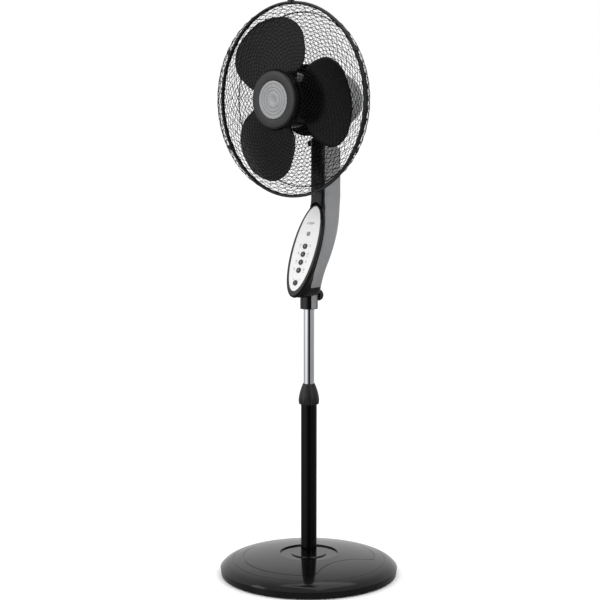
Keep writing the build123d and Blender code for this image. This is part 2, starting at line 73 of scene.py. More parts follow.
# ------------------------------------------------------------------------------------------------ finishes
class Canvas:
    """A node tree with short ways to add and join its nodes."""

    def __init__(self, tree: bpy.types.NodeTree) -> None:
        """Works on one tree.

        Args:
            tree: The node tree of a material, a world or a group.
        """
        self.tree = tree

    def add(self, kind: str, inputs: dict | None = None, **settings: object) -> bpy.types.Node:
        """Adds a node.

        Args:
            kind: Blender's name for the node type.
            inputs: Values or output sockets by input name.
            settings: Properties of the node itself.

        Returns:
            The new node.
        """
        node = self.tree.nodes.new(kind)
        for name, value in settings.items():
            setattr(node, name, value)
        for name, value in (inputs or {}).items():
            self.feed(node.inputs[name], value)
        return node

    def feed(self, socket: bpy.types.NodeSocket, value: object) -> None:
        """Links an output socket to an input, or sets the input's own value.

        Args:
            socket: The input.
            value: An output socket, a number, or a colour or vector.
        """
        if isinstance(value, bpy.types.NodeSocket):
            self.tree.links.new(value, socket)
        elif isinstance(value, tuple) and len(value) == 3 and socket.type == "RGBA":
            socket.default_value = (*value, 1.0)
        else:
            socket.default_value = value

    def maths(self, operation: str, first: object, second: object = 0.0,
              clamp: bool = False) -> bpy.types.NodeSocket:
        """Adds a Math node.

        Args:
            operation: The sum to do.
            first: Its first value.
            second: Its second value.
            clamp: Whether the result is kept from 0 to 1.

        Returns:
            The result's socket.
        """
        node = self.add("ShaderNodeMath", operation=operation, use_clamp=clamp)
        self.feed(node.inputs[0], first)
        self.feed(node.inputs[1], second)
        return node.outputs[0]

    def span(self, value: object, low: float, high: float, to_low: float = 0.0,
             to_high: float = 1.0) -> bpy.types.NodeSocket:
        """Maps one range to another and keeps it there.

        Args:
            value: The input.
            low: Where it starts.
            high: Where it ends.
            to_low: The result at the start.
            to_high: The result at the end.

        Returns:
            The mapped value's socket.
        """
        node = self.add("ShaderNodeMapRange", {"Value": value, "From Min": low, "From Max": high,
                                               "To Min": to_low, "To Max": to_high})
        return node.outputs["Result"]

    def mix(self, factor: object, first: object, second: object) -> bpy.types.NodeSocket:
        """Mixes two colours.

        Args:
            factor: How much of the second.
            first: The colour at 0.
            second: The colour at 1.

        Returns:
            The mixed colour's socket.
        """
        node = self.add("ShaderNodeMix", data_type="RGBA")
        self.feed(node.inputs[0], factor)
        self.feed(node.inputs[6], first)
        self.feed(node.inputs[7], second)
        return node.outputs[2]


class Effect(Enum):
    """Effects that several finishes share, each one node group."""

    MOTTLE = "mottle"
    GRAIN = "grain"
    EDGE_WEAR = "edge_wear"
    SETTLED_DUST = "settled_dust"
    SCUFFS = "scuffs"


class EffectLibrary:
    """Builds each shared effect once and places it in any material."""

    def __init__(self) -> None:
        """Starts with no groups."""
        self._groups: dict[Effect, bpy.types.NodeTree] = {}
        self._makers: dict[Effect, Callable[[], bpy.types.NodeTree]] = {
            Effect.MOTTLE: self._mottle,
            Effect.GRAIN: self._grain,
            Effect.EDGE_WEAR: self._edge_wear,
            Effect.SETTLED_DUST: self._settled_dust,
            Effect.SCUFFS: self._scuffs,
        }

    def place(self, canvas: Canvas, effect: Effect, **inputs: object) -> bpy.types.NodeSocket:
        """Places an effect in a material.

        Args:
            canvas: The material's tree.
            effect: Which effect.
            inputs: The group's inputs by name, with underscores for spaces.

        Returns:
            The effect's only output.
        """
        if effect not in self._groups:
            self._groups[effect] = self._makers[effect]()
        node = canvas.add("ShaderNodeGroup", node_tree=self._groups[effect])
        for name, value in inputs.items():
            canvas.feed(node.inputs[name.replace("_", " ").capitalize()], value)
        return node.outputs[0]

    @staticmethod
    def _new(effect: Effect, inputs: dict[str, float],
             output: str) -> tuple[Canvas, bpy.types.Node, bpy.types.Node]:
        """Starts a group with number inputs and one number output.

        Args:
            effect: The effect that the group holds.
            inputs: Input names and their defaults.
            output: The output's name.

        Returns:
            The group's canvas, its input node and its output node.
        """
        tree = bpy.data.node_groups.new(effect.value, "ShaderNodeTree")
        for name, value in inputs.items():
            socket = tree.interface.new_socket(name=name, in_out="INPUT", socket_type="NodeSocketFloat")
            socket.default_value = value
        tree.interface.new_socket(name=output, in_out="OUTPUT", socket_type="NodeSocketFloat")
        canvas = Canvas(tree)
        return canvas, canvas.add("NodeGroupInput"), canvas.add("NodeGroupOutput")

    def _mottle(self) -> bpy.types.NodeTree:
        """Soft clouds of two sizes, for slow changes of colour and gloss."""
        canvas, given, out = self._new(Effect.MOTTLE, {"Scale": 20.0, "Contrast": 1.0}, "Mask")
        place = canvas.add("ShaderNodeTexCoord").outputs["Object"]
        wide = canvas.add("ShaderNodeTexNoise", {"Vector": place, "Scale": given.outputs["Scale"], "Detail": 4.0})
        fine_scale = canvas.maths("MULTIPLY", given.outputs["Scale"], 7.3)
        fine = canvas.add("ShaderNodeTexNoise", {"Vector": place, "Scale": fine_scale, "Detail": 2.0})
        both = canvas.maths("MULTIPLY_ADD", fine.outputs["Fac"], 0.35)
        canvas.feed(both.node.inputs[2], canvas.maths("MULTIPLY", wide.outputs["Fac"], 0.65))
        centred = canvas.maths("SUBTRACT", both, 0.5)
        spread = canvas.maths("MULTIPLY", centred, canvas.maths("MULTIPLY", given.outputs["Contrast"], 2.6))
        canvas.feed(out.inputs[0], canvas.maths("ADD", spread, 0.5, clamp=True))
        return canvas.tree

    def _grain(self) -> bpy.types.NodeTree:
        """Fine moulded grain: small cells with softer waves under them."""
        canvas, given, out = self._new(Effect.GRAIN, {"Scale": 900.0, "Waves": 0.4}, "Height")
        place = canvas.add("ShaderNodeTexCoord").outputs["Object"]
        cells = canvas.add("ShaderNodeTexVoronoi", {"Vector": place, "Scale": given.outputs["Scale"]})
        slow = canvas.maths("MULTIPLY", given.outputs["Scale"], 0.06)
        waves = canvas.add("ShaderNodeTexNoise", {"Vector": place, "Scale": slow, "Detail": 3.0})
        lifted = canvas.maths("MULTIPLY", waves.outputs["Fac"], given.outputs["Waves"])
        canvas.feed(out.inputs[0], canvas.maths("ADD", cells.outputs["Distance"], lifted))
        return canvas.tree

    def _edge_wear(self) -> bpy.types.NodeTree:
        """Rubbed edges: where the surface turns sharply, broken up by noise."""
        canvas, given, out = self._new(Effect.EDGE_WEAR, {"Amount": 0.5, "Scale": 60.0}, "Mask")
        rounded = canvas.add("ShaderNodeBevel", {"Radius": WEAR_RADIUS}, samples=4).outputs["Normal"]
        plain = canvas.add("ShaderNodeNewGeometry").outputs["Normal"]
        close = canvas.add("ShaderNodeVectorMath", {0: rounded, 1: plain}, operation="DOT_PRODUCT")
        place = canvas.add("ShaderNodeTexCoord").outputs["Object"]
        noise = canvas.add("ShaderNodeTexNoise", {"Vector": place, "Scale": given.outputs["Scale"], "Detail": 5.0})
        corner = canvas.span(close.outputs["Value"], 0.985, 0.88)
        broken = canvas.span(noise.outputs["Fac"], 0.42, 0.68)
        worn = canvas.maths("MULTIPLY", corner, broken)
        canvas.feed(out.inputs[0], canvas.maths("MULTIPLY", worn, given.outputs["Amount"], clamp=True))
        return canvas.tree

    def _settled_dust(self) -> bpy.types.NodeTree:
        """Faint dust on faces that look up, thinner where it has been wiped."""
        canvas, given, out = self._new(Effect.SETTLED_DUST, {"Amount": 0.2, "Scale": 35.0}, "Mask")
        normal = canvas.add("ShaderNodeNewGeometry").outputs["Normal"]
        up = canvas.add("ShaderNodeSeparateXYZ", {"Vector": normal}).outputs["Z"]
        place = canvas.add("ShaderNodeTexCoord").outputs["Object"]
        wiped = canvas.add("ShaderNodeTexNoise", {"Vector": place, "Scale": given.outputs["Scale"], "Detail": 6.0,
                                                  "Roughness": 0.7})
        facing = canvas.span(up, 0.35, 1.0)
        patches = canvas.span(wiped.outputs["Fac"], 0.4, 0.75)
        laid = canvas.maths("MULTIPLY", facing, patches)
        canvas.feed(out.inputs[0], canvas.maths("MULTIPLY", laid, given.outputs["Amount"], clamp=True))
        return canvas.tree

    def _scuffs(self) -> bpy.types.NodeTree:
        """Hair-fine scratches that run round and along, seen only in the gloss."""
        canvas, given, out = self._new(Effect.SCUFFS, {"Scale": 40.0, "Amount": 0.3}, "Mask")
        place = canvas.add("ShaderNodeTexCoord").outputs["Object"]
        turned = canvas.add("ShaderNodeMapping", {"Vector": place, "Rotation": (0.6, 0.35, 0.8),
                                                  "Scale": (1.0, 14.0, 1.6)})
        noise = canvas.add("ShaderNodeTexNoise", {"Vector": turned.outputs["Vector"],
                                                  "Scale": given.outputs["Scale"], "Detail": 8.0})
        lines = canvas.span(noise.outputs["Fac"], 0.6, 0.72)
        canvas.feed(out.inputs[0], canvas.maths("MULTIPLY", lines, given.outputs["Amount"], clamp=True))
        return canvas.tree


EFFECTS = EffectLibrary()


@dataclass(frozen=True)
class Finish:
    """A surface: its two close colours, gloss, grain, worn edges and dust."""

    name: str
    colour: Colour
    shade: Colour
    gloss: tuple[float, float] = (0.25, 0.4)
    metallic: float = 0.0
    mottle: float = 18.0
    grain: float = 1400.0
    relief: float = 0.04
    wear: float = 0.4
    worn: Colour = (0.18, 0.18, 0.18)
    dust: float = 0.015
    scuffs: float = 0.25
    specular: float = 0.5
    coat: float = 0.0
    coat_roughness: float = 0.05

    def base_colour(self, canvas: Canvas) -> bpy.types.NodeSocket:
        """The colour before wear and dust.

        Args:
            canvas: The material's tree.

        Returns:
            A colour socket.
        """
        clouds = EFFECTS.place(canvas, Effect.MOTTLE, scale=self.mottle)
        return canvas.mix(clouds, self.colour, self.shade)

    def height(self, canvas: Canvas) -> bpy.types.NodeSocket:
        """The fine relief that bumps the surface.

        Args:
            canvas: The material's tree.

        Returns:
            A height socket.
        """
        return EFFECTS.place(canvas, Effect.GRAIN, scale=self.grain)

    def material(self) -> bpy.types.Material:
        """The finished material, made once.

        Returns:
            The material.
        """
        found = bpy.data.materials.get(self.name)
        if found:
            return found
        material = bpy.data.materials.new(self.name)
        material.use_nodes = True
        material.node_tree.nodes.clear()
        canvas = Canvas(material.node_tree)
        dust = EFFECTS.place(canvas, Effect.SETTLED_DUST, amount=self.dust)
        scuffs = EFFECTS.place(canvas, Effect.SCUFFS, amount=self.scuffs)
        clouds = EFFECTS.place(canvas, Effect.MOTTLE, scale=self.mottle * 2.3)
        colour = self.base_colour(canvas)
        if self.wear > 0:
            colour = canvas.mix(EFFECTS.place(canvas, Effect.EDGE_WEAR, amount=self.wear), colour, self.worn)
        colour = canvas.mix(dust, colour, DUST_COLOUR)
        rough = canvas.span(clouds, 0.0, 1.0, *self.gloss)
        rough = canvas.maths("ADD", rough, canvas.maths("MULTIPLY", scuffs, SCUFF_ROUGHNESS))
        rough = canvas.maths("ADD", rough, canvas.maths("MULTIPLY", dust, DUST_ROUGHNESS), clamp=True)
        bump = canvas.add("ShaderNodeBump", {"Height": self.height(canvas), "Strength": self.relief,
                                             "Distance": RELIEF_DEPTH})
        shader = canvas.add("ShaderNodeBsdfPrincipled", {
            "Base Color": colour, "Roughness": rough, "Metallic": self.metallic,
            "Specular IOR Level": self.specular, "Coat Weight": self.coat,
            "Coat Roughness": self.coat_roughness, "Normal": bump.outputs["Normal"]})
        output = canvas.add("ShaderNodeOutputMaterial", {"Surface": shader.outputs["BSDF"]})
        output.is_active_output = True
        return material


@dataclass(frozen=True)
class DrawnMetal(Finish):
    """Metal with fine lines along one axis, as drawn, rolled or brushed."""

    along: Place = (1.0, 1.0, 0.02)

    def height(self, canvas: Canvas) -> bpy.types.NodeSocket:
        """Fine lines in place of grain.

        Args:
            canvas: The material's tree.

        Returns:
            A height socket.
        """
        place = canvas.add("ShaderNodeTexCoord").outputs["Object"]
        stretched = canvas.add("ShaderNodeMapping", {"Vector": place, "Scale": self.along})
        lines = canvas.add("ShaderNodeTexNoise", {"Vector": stretched.outputs["Vector"], "Scale": self.grain,
                                                  "Detail": 3.0})
        return lines.outputs["Fac"]


@dataclass(frozen=True)
class Wound(Finish):
    """Enamelled wire laid in close turns."""

    def height(self, canvas: Canvas) -> bpy.types.NodeSocket:
        """Close ridges, one for each turn of wire.

        Args:
            canvas: The material's tree.

        Returns:
            A height socket.
        """
        place = canvas.add("ShaderNodeTexCoord").outputs["Object"]
        rings = canvas.add("ShaderNodeTexWave", {"Vector": place, "Scale": 500.0, "Distortion": 1.5},
                           wave_type="RINGS", rings_direction="Y")
        return rings.outputs["Fac"]


@dataclass(frozen=True)
class CircuitBoard(Finish):
    """Green board with paler tracks."""

    def base_colour(self, canvas: Canvas) -> bpy.types.NodeSocket:
        """Tracks and pads over the green.

        Args:
            canvas: The material's tree.

        Returns:
            A colour socket.
        """
        place = canvas.add("ShaderNodeTexCoord").outputs["Object"]
        bricks = canvas.add("ShaderNodeTexBrick", {"Vector": place, "Scale": 90.0, "Mortar Size": 0.06,
                                                   "Color1": self.colour, "Color2": self.shade,
                                                   "Mortar": (0.16, 0.3, 0.12)})
        return bricks.outputs["Color"]


@dataclass(frozen=True)
class LampLens(Finish):
    """Clear tinted lens over a lamp that is off."""

    def base_colour(self, canvas: Canvas) -> bpy.types.NodeSocket:
        """A paler middle where the lamp sits.

        Args:
            canvas: The material's tree.

        Returns:
            A colour socket.
        """
        place = canvas.add("ShaderNodeTexCoord").outputs["Object"]
        spots = canvas.add("ShaderNodeTexVoronoi", {"Vector": place, "Scale": 700.0})
        return canvas.mix(spots.outputs["Distance"], self.colour, self.shade)


BLACK_GLOSS = Finish("black_gloss_plastic", (0.003, 0.003, 0.0035), (0.005, 0.005, 0.0055), (0.05, 0.10),
                     wear=0.25, worn=(0.05, 0.05, 0.05), relief=0.010, scuffs=0.12, specular=0.42)
BEZEL_GLOSS = Finish("bezel_gloss_plastic", (0.002, 0.002, 0.0022), (0.003, 0.003, 0.0032), (0.08, 0.14),
                     wear=0.2, worn=(0.05, 0.05, 0.05), relief=0.012, specular=0.4)
HOUSING_BLACK = Finish("housing_black_plastic", (0.003, 0.003, 0.0035), (0.005, 0.005, 0.0055), (0.2, 0.3),
                       wear=0.3, worn=(0.06, 0.06, 0.06), relief=0.04, specular=0.35)
BLACK_SATIN = Finish("black_satin_plastic", (0.006, 0.006, 0.0065), (0.010, 0.010, 0.011), (0.28, 0.40),
                     wear=0.4, worn=(0.07, 0.07, 0.07), relief=0.08, specular=0.4)
POLE_BLACK = Finish("pole_black_enamel", (0.0015, 0.0015, 0.0015), (0.0025, 0.0025, 0.0025), (0.07, 0.12),
                    wear=0.2, worn=(0.04, 0.04, 0.04), relief=0.010, scuffs=0.1, specular=0.16, dust=0.004)
CHROME = DrawnMetal("polished_chrome", (0.80, 0.81, 0.83), (0.72, 0.73, 0.76), (0.02, 0.06), 1.0, relief=0.006,
                    wear=0.1, worn=(0.6, 0.6, 0.6), scuffs=0.1, grain=600.0)
SILVER = Finish("silver_painted_plastic", (0.25, 0.253, 0.26), (0.29, 0.293, 0.30), (0.34, 0.46), 0.5,
                wear=0.3, worn=(0.12, 0.12, 0.12), relief=0.06, grain=2600.0)
PANEL_WHITE = Finish("panel_white_plastic", (0.70, 0.705, 0.70), (0.73, 0.73, 0.725), (0.22, 0.32),
                     wear=0.15, worn=(0.66, 0.66, 0.64), relief=0.04, dust=0.02, scuffs=0.1)
BUTTON_DARK = Finish("button_dark_plastic", (0.020, 0.021, 0.023), (0.030, 0.031, 0.034), (0.22, 0.34),
                     wear=0.5, worn=(0.12, 0.12, 0.12), relief=0.05)
WINDOW_GREY = Finish("window_grey_lens", (0.13, 0.135, 0.14), (0.18, 0.185, 0.19), (0.05, 0.1), coat=0.5)
LAMP_LENS = LampLens("lamp_lens_plastic", (0.5, 0.53, 0.5), (0.34, 0.38, 0.34), (0.05, 0.12), coat=0.6)
WIRE_BLACK = Finish("wire_black_enamel", (0.002, 0.002, 0.002), (0.004, 0.004, 0.004), (0.3, 0.4),
                    wear=0.0, relief=0.03, mottle=60.0, dust=0.005, specular=0.1)
BLADE_BLACK = Finish("blade_smoked_plastic", (0.003, 0.003, 0.0033), (0.005, 0.005, 0.0055), (0.14, 0.22),
                     wear=0.35, worn=(0.03, 0.03, 0.03), relief=0.015, dust=0.006, specular=0.26)
BADGE_GREY = Finish("badge_grey_plastic", (0.007, 0.007, 0.0075), (0.010, 0.010, 0.011), (0.3, 0.4),
                    worn=(0.08, 0.08, 0.08), relief=0.06)
BADGE_SILVER = DrawnMetal("badge_silver_plate", (0.26, 0.265, 0.27), (0.31, 0.31, 0.315), (0.28, 0.38), 0.5,
                          relief=0.05, along=(1.0, 1.0, 1.0))
STEEL = DrawnMetal("plain_steel", (0.42, 0.42, 0.43), (0.5, 0.5, 0.51), (0.25, 0.42), 1.0, relief=0.08,
                   worn=(0.65, 0.65, 0.66))
BALLAST = Finish("cast_ballast", (0.10, 0.10, 0.10), (0.16, 0.155, 0.15), (0.6, 0.8), 0.3, grain=300.0,
                 relief=0.5)
RUBBER = Finish("foot_rubber", (0.018, 0.018, 0.018), (0.032, 0.031, 0.03), (0.7, 0.85), relief=0.3, specular=0.3)
BOARD_GREEN = CircuitBoard("board_green_laminate", (0.02, 0.12, 0.04), (0.025, 0.14, 0.05), (0.25, 0.4))
COPPER = Wound("wound_copper", (0.60, 0.22, 0.09), (0.48, 0.16, 0.06), (0.25, 0.4), 0.9, relief=0.6)
NYLON = Finish("natural_nylon", (0.62, 0.60, 0.55), (0.68, 0.66, 0.60), (0.4, 0.55), worn=(0.5, 0.48, 0.44))
ALUMINIUM = DrawnMetal("pressed_aluminium", (0.60, 0.61, 0.62), (0.68, 0.68, 0.69), (0.3, 0.45), 1.0,
                       along=(1.0, 0.02, 1.0), worn=(0.8, 0.8, 0.8))
MARK_GREY = Finish("printed_mark_grey", (0.10, 0.10, 0.105), (0.13, 0.13, 0.135), (0.5, 0.6), wear=0.3,
                   worn=(0.7, 0.7, 0.7), relief=0.02, dust=0.0)
MARK_PALE = Finish("printed_mark_pale", (0.55, 0.56, 0.57), (0.62, 0.62, 0.63), (0.5, 0.6), wear=0.2, relief=0.02,
                   dust=0.0)


# ------------------------------------------------------------------------------------------------ modelling
def deselect() -> None:
    """Leaves object mode with nothing selected."""
    if bpy.context.object and bpy.context.object.mode != "OBJECT":
        bpy.ops.object.mode_set(mode="OBJECT")
    bpy.ops.object.select_all(action="DESELECT")


def pick(*pieces: bpy.types.Object) -> None:
    """Selects only these pieces, the first one active.

    Args:
        pieces: The objects.
    """
    deselect()
    for piece in pieces:
        piece.select_set(True)
    bpy.context.view_layer.objects.active = pieces[0]


def settle(piece: bpy.types.Object) -> bpy.types.Object:
    """Moves the object's place into its mesh.

    Args:
        piece: The object.

    Returns:
        The same object, at the origin.
    """
    pick(piece)
    bpy.ops.object.transform_apply(location=True, rotation=True, scale=True)
    return piece


def apply_modifier(piece: bpy.types.Object, kind: str, **settings: object) -> None:
    """Adds a modifier, sets it and applies it.

    Args:
        piece: The object.
        kind: The modifier's type.
        settings: The modifier's properties.
    """
    pick(piece)
    bpy.ops.object.modifier_add(type=kind)
    modifier = piece.modifiers[-1]
    for name, value in settings.items():
        setattr(modifier, name, value)
    bpy.ops.object.modifier_apply(modifier=modifier.name)


def soften(piece: bpy.types.Object, width: float, segments: int = 2, angle: float = 40.0) -> bpy.types.Object:
    """Rounds the sharp edges and smooths the shading.

    Args:
        piece: The object.
        width: Width of the rounding, in millimetres.
        segments: Faces across it.
        angle: Edges sharper than this are rounded.

    Returns:
        The same object.
    """
    if width > 0:
        apply_modifier(piece, "BEVEL", width=width * MM, segments=segments, limit_method="ANGLE",
                       angle_limit=math.radians(angle), use_clamp_overlap=True)
    pick(piece)
    bpy.ops.object.shade_smooth_by_angle(angle=math.radians(SMOOTH_ANGLE))
    return piece


def join(name: str, pieces: Sequence[bpy.types.Object]) -> bpy.types.Object:
    """Joins pieces into one.

    Args:
        name: The joined piece's name.
        pieces: The objects, the first of which stays.

    Returns:
        The joined object.
    """
    pick(*pieces)
    bpy.ops.object.join()
    pieces[0].name = name
    return pieces[0]


def copies(piece: bpy.types.Object, count: int, start: float = 0.0) -> list[bpy.types.Object]:
    """Copies of a piece, spaced evenly round the upright axis, each with its own mesh.

    Args:
        piece: The first one, which is turned by the start angle too.
        count: How many in all.
        start: Angle of the first, in degrees.

    Returns:
        All of them.
    """
    made = [piece]
    for _ in range(count - 1):
        twin = piece.copy()
        twin.data = piece.data.copy()
        bpy.context.collection.objects.link(twin)
        made.append(twin)
    for index, one in enumerate(made):
        one.data.transform(Matrix.Rotation(math.radians(start + 360.0 * index / count), 4, "Z"))
    return made


def on_axis(piece: bpy.types.Object) -> bpy.types.Object:
    """Places a piece made round the upright axis on the fan's axis, its top to the front.

    Args:
        piece: The object.

    Returns:
        The same object.
    """
    piece.data.transform(Matrix.Translation((0, 0, AXIS_Z * MM)) @ Matrix.Rotation(math.radians(90), 4, "X"))
    return piece


def on_panel(piece: bpy.types.Object) -> bpy.types.Object:
    """Places a piece made flat at the origin on the leaning panel, its top outwards.

    Args:
        piece: The object.

    Returns:
        The same object.
    """
    lean = Matrix.Rotation(math.radians(90.0 - PANEL_LEAN), 4, "X")
    centre = Matrix.Translation(Vector(PANEL_CENTRE) * MM)
    piece.data.transform(centre @ lean)
    return piece


def turn(name: str, outline: Sequence[Point], segments: int = 96, loop: bool = True) -> bpy.types.Object:
    """Turns an outline round the upright axis: a circle, extruded and resized ring by ring.

    Args:
        name: The piece's name.
        outline: Points as (radius, height); a radius of 0 closes the end to a point.
        segments: Faces round the axis.
        loop: Whether the last ring is bridged to the first.

    Returns:
        The turned piece.
    """
    deselect()
    rings = [point for point in outline if point[0] > 0]
    first = rings[0]
    bpy.ops.mesh.primitive_circle_add(vertices=segments, radius=first[0] * MM, location=(0, 0, first[1] * MM))
    piece = bpy.context.object
    piece.name = name
    bpy.ops.object.mode_set(mode="EDIT")
    bpy.ops.mesh.select_all(action="SELECT")
    if outline[0][0] == 0:
        bpy.ops.mesh.extrude_edges_move()
        bpy.ops.mesh.merge(type="CENTER")
    bpy.ops.object.mode_set(mode="OBJECT")
    for vertex in piece.data.vertices:
        vertex.select = vertex.co.length > 0.5 * first[0] * MM
    bpy.ops.object.mode_set(mode="EDIT")
    bpy.ops.mesh.select_mode(type="VERT")
    last = first
    for radius, height in rings[1:]:
        bpy.ops.mesh.extrude_region_move(TRANSFORM_OT_translate={"value": (0, 0, (height - last[1]) * MM)})
        scale = radius / last[0]
        bpy.ops.transform.resize(value=(scale, scale, 1.0), center_override=(0, 0, height * MM))
        last = (radius, height)
    if outline[-1][0] == 0:
        rise = (outline[-1][1] - last[1]) * MM
        bpy.ops.mesh.extrude_region_move(TRANSFORM_OT_translate={"value": (0, 0, rise)})
        bpy.ops.mesh.merge(type="CENTER")
    elif loop and outline[0][0] > 0:
        bpy.ops.mesh.select_all(action="DESELECT")
        bpy.ops.mesh.select_mode(type="EDGE")
        bpy.ops.mesh.select_non_manifold(extend=False, use_wire=False, use_multi_face=False,
                                         use_non_contiguous=False, use_verts=False)
        bpy.ops.mesh.bridge_edge_loops()
        bpy.ops.mesh.select_mode(type="VERT")
    bpy.ops.mesh.select_all(action="SELECT")
    bpy.ops.mesh.normals_make_consistent(inside=False)
    bpy.ops.object.mode_set(mode="OBJECT")
    return settle(piece)


def bowed(points: Sequence[Point], steps: int = 5) -> list[Point]:
    """A smooth line through the points.

    Args:
        points: Points to pass through.
        steps: How many new points for each span.

    Returns:
        The finer line, ends included.
    """
    fine: list[Point] = []
    for index in range(len(points) - 1):
        before = points[max(index - 1, 0)]
        a, b = points[index], points[index + 1]
        after = points[min(index + 2, len(points) - 1)]
        for step in range(steps):
            t = step / steps
            fine.append(tuple(0.5 * (2 * a[k] + (b[k] - before[k]) * t
                                     + (2 * before[k] - 5 * a[k] + 4 * b[k] - after[k]) * t * t
                                     + (3 * a[k] - before[k] - 3 * b[k] + after[k]) * t ** 3) for k in (0, 1)))
    return fine + [tuple(points[-1])]


def wire(name: str, route: Sequence[Place], thickness: float, sides: int = 3) -> bpy.types.Object:
    """A round wire along a route: a path whose points are placed, given a round section and made a mesh.

    Args:
        name: The piece's name.
        route: The points that it follows.
        thickness: Diameter in millimetres.
        sides: Resolution of half the section.

    Returns:
        The wire.
    """
    deselect()
    bpy.ops.curve.primitive_nurbs_path_add()
    path = bpy.context.object
    path.name = name
    bpy.ops.object.mode_set(mode="EDIT")
    bpy.ops.curve.select_all(action="SELECT")
    bpy.ops.curve.subdivide(number_cuts=math.ceil((len(route) - 5) / 4))
    bpy.ops.curve.spline_type_set(type="POLY")
    bpy.ops.object.mode_set(mode="OBJECT")
    points = path.data.splines[0].points
    for index, point in enumerate(points):
        place = route[min(index, len(route) - 1)]
        point.co = (*(Vector(place) * MM), 1.0)
    path.data.bevel_depth = thickness / 2 * MM
    path.data.bevel_resolution = sides - 2
    path.data.use_fill_caps = True
    pick(path)
    bpy.ops.object.convert(target="MESH")
    bpy.ops.object.shade_smooth()
    return path


def dress(piece: bpy.types.Object, finish: Finish, body: str) -> bpy.types.Object:
    """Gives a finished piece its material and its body.

    Args:
        piece: The object.
        finish: Its finish.
        body: The CAD body that it rides on.

    Returns:
        The same object.
    """
    piece.data.materials.clear()
    piece.data.materials.append(finish.material())
    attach(piece, body)
    LOG.info("%s: %d faces on %s", piece.name, len(piece.data.polygons), body)
    return piece


# ------------------------------------------------------------------------------------------------ guard
@dataclass
class Guard:
    """One half of the cage: two crossed layers of spiral wires between a hub and a rim."""

    name: str
    start: float
    depth: Callable[[float], float]
    inner_step: float
    wires: int = 48
    base_circle: float = 60.0
    thickness: float = 1.1
    crowding: float = 1.7
    points: int = 21

    def route(self, hand: int, step: float) -> list[Place]:
        """The line of one wire: it unwinds from the base circle as it runs out.

        Args:
            hand: 1 or -1, which way it curls.
            step: How much lower the layer lies.

        Returns:
            Points from the hub to the rim.
        """
        places = []
        for index in range(self.points):
            share = index / (self.points - 1)
            radius = self.start + (RIM_RADIUS - self.start) * (1 - (1 - share) ** self.crowding)
            unwound = math.sqrt(max((radius / self.base_circle) ** 2 - 1, 0.0))
            angle = hand * (unwound - math.atan(unwound))
            places.append((radius * math.cos(angle), radius * math.sin(angle), self.depth(radius) + step))
        return places

    def mesh(self) -> list[bpy.types.Object]:
        """Both layers of wires.

        Returns:
            All the wires.
        """
        layers = []
        for hand, step in ((1, 0.0), (-1, self.inner_step)):
            first = wire(f"{self.name}_wire", self.route(hand, step), self.thickness)
            half_pitch = 180.0 / self.wires
            layers += copies(first, self.wires, half_pitch if hand < 0 else 0.0)
        return layers

    def build(self, rings: Sequence[bpy.types.Object], node: str) -> bpy.types.Object:
        """The whole guard as one piece.

        Args:
            rings: Its hub and rim rings.
            node: The CAD node that it stands for.

        Returns:
            The guard.
        """
        guard = on_axis(join(self.name, [*rings, *self.mesh()]))
        dress(guard, WIRE_BLACK, "head")
        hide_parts(node)
        return guard


def front_depth(radius: float) -> float:
    """Depth of the front guard's wires at a radius."""
    t = (radius - FRONT_HUB) / (RIM_RADIUS - FRONT_HUB)
    return 61.0 + 47.0 * max(0.0, 1 - t * t) ** 0.28


def rear_depth(radius: float) -> float:
    """Depth of the rear guard's wires at a radius."""
    t = (radius - REAR_HUB) / (RIM_RADIUS - REAR_HUB)
    return 55.9 - 49.9 * max(0.0, 1 - t * t) ** 0.3


@dataclass
class Cage:
    """Both guards and the band that joins them; the band's clips stay as the CAD node."""

    rim_bar: float = 2.8
    rim_radius: float = 205.6
    layer_gap: float = 1.6

    def bar(self, name: str, radius: float, height: float, thickness: float) -> bpy.types.Object:
        """A round bar bent to a ring.

        Args:
            name: The piece's name.
            radius: Radius of its centre line.
            height: Height of its centre line.
            thickness: Diameter of the bar.

        Returns:
            The ring.
        """
        steps = 10
        outline = [(radius + thickness / 2 * math.cos(2 * math.pi * k / steps),
                    height + thickness / 2 * math.sin(2 * math.pi * k / steps)) for k in range(steps)]
        ring = turn(name, outline, 144)
        pick(ring)
        bpy.ops.object.shade_smooth()
        return ring

    def build(self) -> None:
        """Makes the guards and the band."""
        front = Guard("front_guard", 63.2, front_depth, -self.layer_gap)
        front_rim = self.bar("front_rim", self.rim_radius, 60.3, self.rim_bar)
        front.build([front_rim, self.bar("front_hub_ring", 64.0, 107.6, 3.2)], "front_grille")
        rear = Guard("rear_guard", 76.5, rear_depth, self.layer_gap)
        rear_rim = self.bar("rear_rim", self.rim_radius, 56.6, self.rim_bar)
        rear.build([rear_rim, self.bar("rear_stay_ring", 188.0, 26.6, 2.2), self.plate()], "rear_grille")
        self.band()

    def plate(self) -> bpy.types.Object:
        """The rear guard's pressed centre plate."""
        plate = turn("rear_plate", [(14, 4), (46, 4), (50, 5.6), (70, 5.6), (74, 4), (76, 4), (78, 6), (78, 10),
                                    (74, 10), (71, 7.8), (50, 7.8), (46, 7), (14, 7)])
        return soften(plate, 0.5)

    def band(self) -> None:
        """The joining band: a channel with a lip along each edge."""
        outline = [(206.2, 54.7), (209.6, 54.7), (210.5, 55.4), (210.5, 56.6), (209.8, 57.2), (209.6, 58.4),
                   (209.8, 59.6), (210.5, 60.2), (210.5, 61.4), (209.6, 62.2), (206.2, 62.2), (206.2, 61.6),
                   (208.2, 61.4), (208.2, 55.5), (206.2, 55.3)]
        band = on_axis(soften(turn("rim_band", outline, 192), 0.3))
        dress(band, BLACK_GLOSS, "head")
        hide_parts("grille_band")


